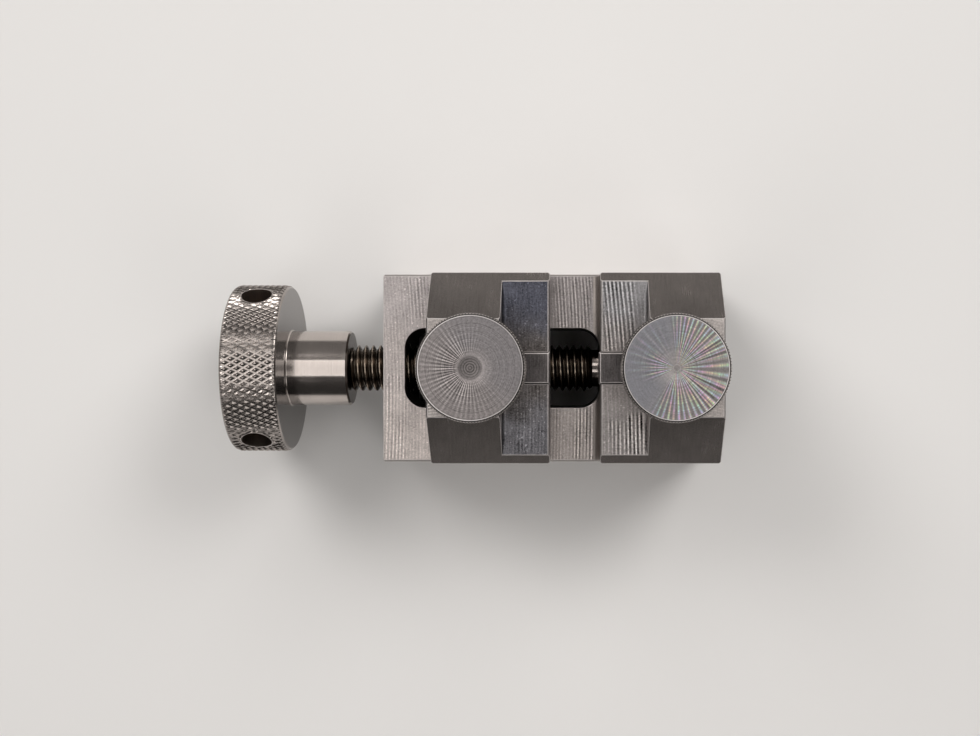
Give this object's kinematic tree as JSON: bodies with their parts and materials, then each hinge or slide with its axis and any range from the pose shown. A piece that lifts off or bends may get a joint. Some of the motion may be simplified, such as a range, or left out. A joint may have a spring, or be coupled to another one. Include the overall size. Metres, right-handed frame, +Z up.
{
  "type": "watch bracelet vice",
  "caption": "Small steel vice for a watch bracelet: slotted base with a fixed jaw, moving jaw on a lead screw with a knurled knob, stepped ledges and thumbscrews.",
  "frame": {"origin": "on the bench, under the middle of the whole tool", "axes": "+X along the lead screw from the hand knob to the fixed jaw, +Y across the jaws, +Z up"},
  "size_m": [0.0838, 0.032, 0.0401],
  "materials": {
    "body_steel": "milled stainless steel, fine cutter marks across the base",
    "jaw_steel": "milled stainless steel, smooth slopes and fine cutter marks on the ledge",
    "key_steel": "ground steel, darker than the jaws",
    "knurled_steel": "turned stainless steel with a diamond knurl on the rim",
    "turned_steel": "turned stainless steel, fine facing marks on top and a fine diamond knurl",
    "thread_steel": "bright turned steel",
    "screw_steel": "black oxide"
  },
  "bodies": {
    "base": {"vise_body": "body_steel", "fixed_jaw_key": "key_steel", "screw_retainer": "screw_steel"},
    "slide": {"moving_jaw": "jaw_steel", "moving_jaw_key": "key_steel", "keeper_plate": "jaw_steel", "keeper_screws": "screw_steel"},
    "screw": {"lead_screw": "thread_steel", "hand_knob": "knurled_steel", "knob_grub_screw": "screw_steel"},
    "fixed_washer": {"fixed_thumb_washer": "thread_steel"},
    "fixed_thumb": {"fixed_jaw_thumbscrew": "turned_steel"},
    "moving_washer": {"moving_thumb_washer": "thread_steel"},
    "moving_thumb": {"moving_jaw_thumbscrew": "turned_steel"}
  },
  "joints": [
    {"name": "screw_turn", "type": "hinge", "parent": "base", "child": "screw", "pos_m": [0, 0, 0.015], "axis": [1, 0, 0], "range_deg": [-2304, 2476.8]},
    {"name": "jaw_slide", "type": "slide", "parent": "base", "child": "slide", "axis": [1, 0, 0], "range_m": [-0.0086, 0.008]},
    {"name": "fixed_thumb_lift", "type": "slide", "parent": "base", "child": "fixed_washer", "axis": [0, 0, 1], "range_m": [0, 0.005]},
    {"name": "fixed_thumb_turn", "type": "hinge", "parent": "fixed_washer", "child": "fixed_thumb", "pos_m": [0.0331, 0, 0.0345], "axis": [0, 0, 1], "range_deg": [0, 2250]},
    {"name": "moving_thumb_lift", "type": "slide", "parent": "slide", "child": "moving_washer", "axis": [0, 0, 1], "range_m": [0, 0.005]},
    {"name": "moving_thumb_turn", "type": "hinge", "parent": "moving_washer", "child": "moving_thumb", "pos_m": [0.00055, 0, 0.0345], "axis": [0, 0, 1], "range_deg": [0, 2250]}
  ],
  "couplings": [
    {"joint": "jaw_slide", "follows": "screw_turn", "m_per_rad": -0.00019894},
    {"joint": "fixed_thumb_lift", "follows": "fixed_thumb_turn", "m_per_rad": 0.00012732},
    {"joint": "moving_thumb_lift", "follows": "moving_thumb_turn", "m_per_rad": 0.00012732}
  ]
}
